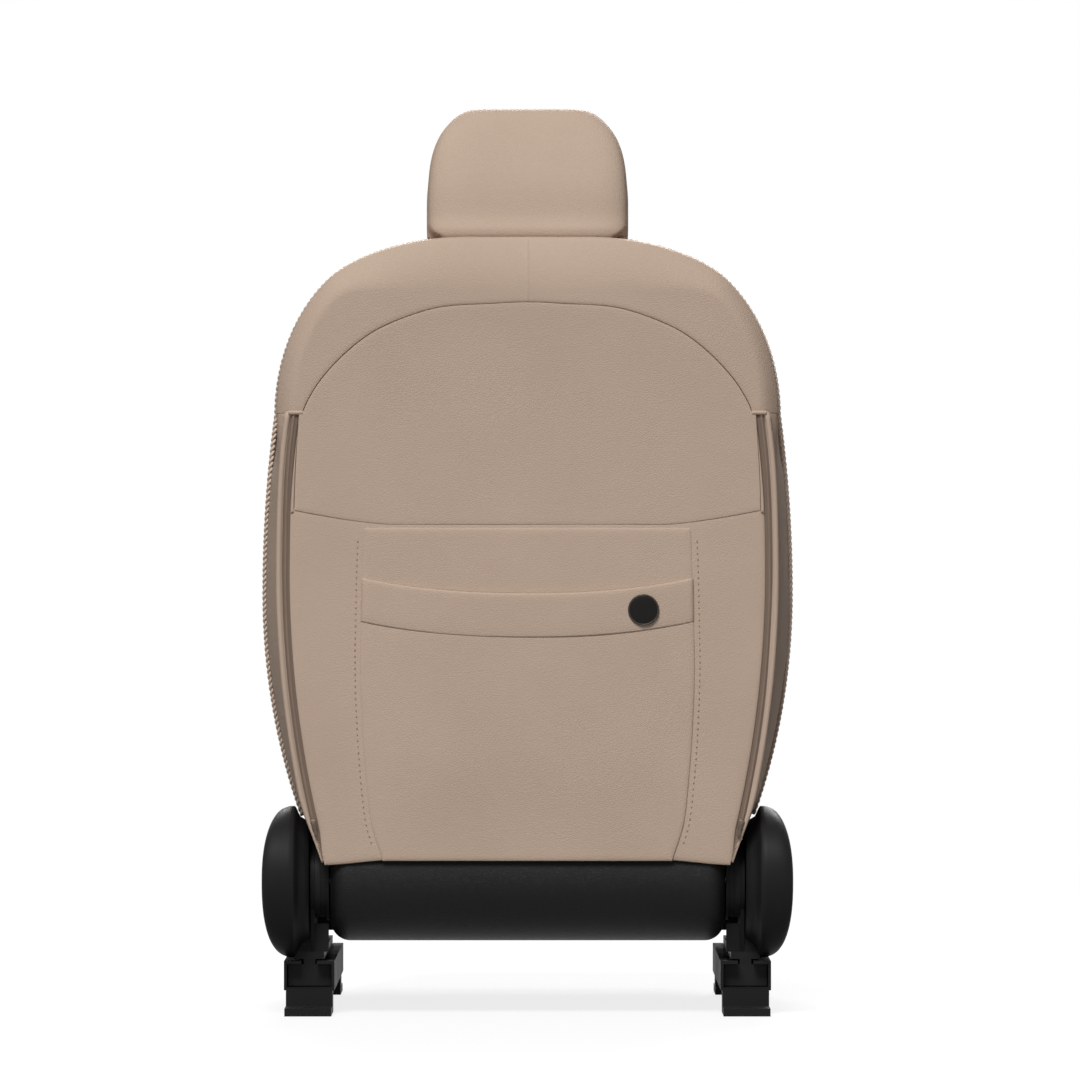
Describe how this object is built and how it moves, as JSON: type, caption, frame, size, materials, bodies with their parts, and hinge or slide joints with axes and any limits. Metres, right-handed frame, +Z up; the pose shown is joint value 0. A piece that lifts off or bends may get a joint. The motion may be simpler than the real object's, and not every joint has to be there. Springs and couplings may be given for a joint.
{
  "type": "car seat with a fitted cover set",
  "caption": "Front car seat dressed in a fitted beige leatherette cover, with rear map pocket, side zips, piping, sliding rails, reclining back and a headrest on posts.",
  "frame": {"origin": "centre of the four floor bolt holes, on the floor plane", "axes": "+X to the right and +Y to the front of the seat, +Z up; the picture looks along +Y, from behind"},
  "size_m": [0.5498, 0.6004, 0.935],
  "materials": {
    "beige_leatherette": "fine grain, satin",
    "beige_piping": "twisted cord, satin",
    "black_leatherette": "fine grain, semi-matt",
    "foam": "open foam",
    "black_plastic": "fine texture",
    "rail_steel": "black coating",
    "bright_steel": "zinc plated",
    "zip_tape": "woven tape",
    "zip_metal": "dark lacquer",
    "badge": "plain, satin",
    "chrome": "polished"
  },
  "bodies": {
    "floor_rails": {"lower_rail_left": "rail_steel", "lower_rail_right": "rail_steel", "rear_foot_left": "rail_steel", "rear_foot_right": "rail_steel", "front_foot_left": "rail_steel", "front_foot_right": "rail_steel"},
    "seat_base": {"upper_rail_left": "bright_steel", "upper_rail_right": "bright_steel", "side_member_left": "rail_steel", "side_member_right": "rail_steel", "recliner_left": "bright_steel", "recliner_right": "bright_steel", "front_cross_tube": "rail_steel", "rear_cross_tube": "rail_steel", "cushion_pan": "rail_steel", "cushion_foam": "foam", "cushion_cover_skirt": "beige_leatherette", "cushion_cover_top": "beige_leatherette", "cushion_piping": "beige_piping", "rear_roll": "black_leatherette", "side_valance_left": "black_plastic", "side_valance_right": "black_plastic"},
    "recline_lever": {"recline_lever": "black_plastic"},
    "slide_bar": {"slide_bar": "bright_steel"},
    "backrest": {"recliner_hub_left": "bright_steel", "recliner_hub_right": "bright_steel", "recliner_rod": "bright_steel", "back_frame_side_left": "rail_steel", "back_frame_side_right": "rail_steel", "back_frame_top_tube": "rail_steel", "back_frame_lower_tube": "rail_steel", "sleeve_bracket": "rail_steel", "headrest_sleeve_left": "black_plastic", "headrest_sleeve_right": "black_plastic", "back_spring_mat": "bright_steel", "back_foam": "foam", "back_cover_yoke": "beige_leatherette", "back_cover_side_left": "beige_leatherette", "back_cover_side_right": "beige_leatherette", "back_cover_front": "beige_leatherette", "back_bolster_left": "beige_leatherette", "back_bolster_right": "beige_leatherette", "back_piping": "beige_piping", "back_cover_rear": "beige_leatherette", "back_cover_lower": "beige_leatherette", "zip_left": "zip_tape", "zip_right": "zip_tape", "pocket_panel": "beige_leatherette", "pocket_band": "beige_leatherette", "pocket_gusset": "beige_leatherette", "badge": "badge"},
    "headrest": {"headrest_posts": "chrome", "headrest_foam": "foam", "headrest_cover": "beige_leatherette"},
    "headrest_button": {"headrest_button": "black_plastic"},
    "zip_slider_left": {"zip_slider_left": "zip_metal"},
    "zip_slider_right": {"zip_slider_right": "zip_metal"}
  },
  "joints": [
    {"name": "seat_slide", "type": "slide", "parent": "floor_rails", "child": "seat_base", "axis": [0, 1, 0], "range_m": [-0.1, 0.12]},
    {"name": "recline", "type": "hinge", "parent": "seat_base", "child": "backrest", "pos_m": [0, -0.15, 0.137], "axis": [1, 0, 0], "range_deg": [-4, 50]},
    {"name": "headrest_height", "type": "slide", "parent": "backrest", "child": "headrest", "axis": [0, 0, 1], "range_m": [0, 0.07]},
    {"name": "headrest_release", "type": "slide", "parent": "backrest", "child": "headrest_button", "axis": [-1, 0, 0], "range_m": [0, 0.004], "stiffness_N_per_m": 600, "springref_m": -0.001},
    {"name": "recline_lever_lift", "type": "hinge", "parent": "seat_base", "child": "recline_lever", "pos_m": [-0.268, 0.06, 0.117], "axis": [1, 0, 0], "range_deg": [0, 35], "stiffness_Nm_per_rad": 1.2, "springref_deg": -11.46},
    {"name": "slide_bar_lift", "type": "hinge", "parent": "seat_base", "child": "slide_bar", "pos_m": [0, 0.15, 0.076], "axis": [1, 0, 0], "range_deg": [0, 10], "stiffness_Nm_per_rad": 8, "springref_deg": -5.73},
    {"name": "zip_left_run", "type": "hinge", "parent": "backrest", "child": "zip_slider_left", "pos_m": [0.9015, -0.215, 0.455], "axis": [0, 1, 0], "range_deg": [0, 20]},
    {"name": "zip_right_run", "type": "hinge", "parent": "backrest", "child": "zip_slider_right", "pos_m": [-0.9015, -0.215, 0.455], "axis": [0, -1, 0], "range_deg": [0, 20]}
  ]
}
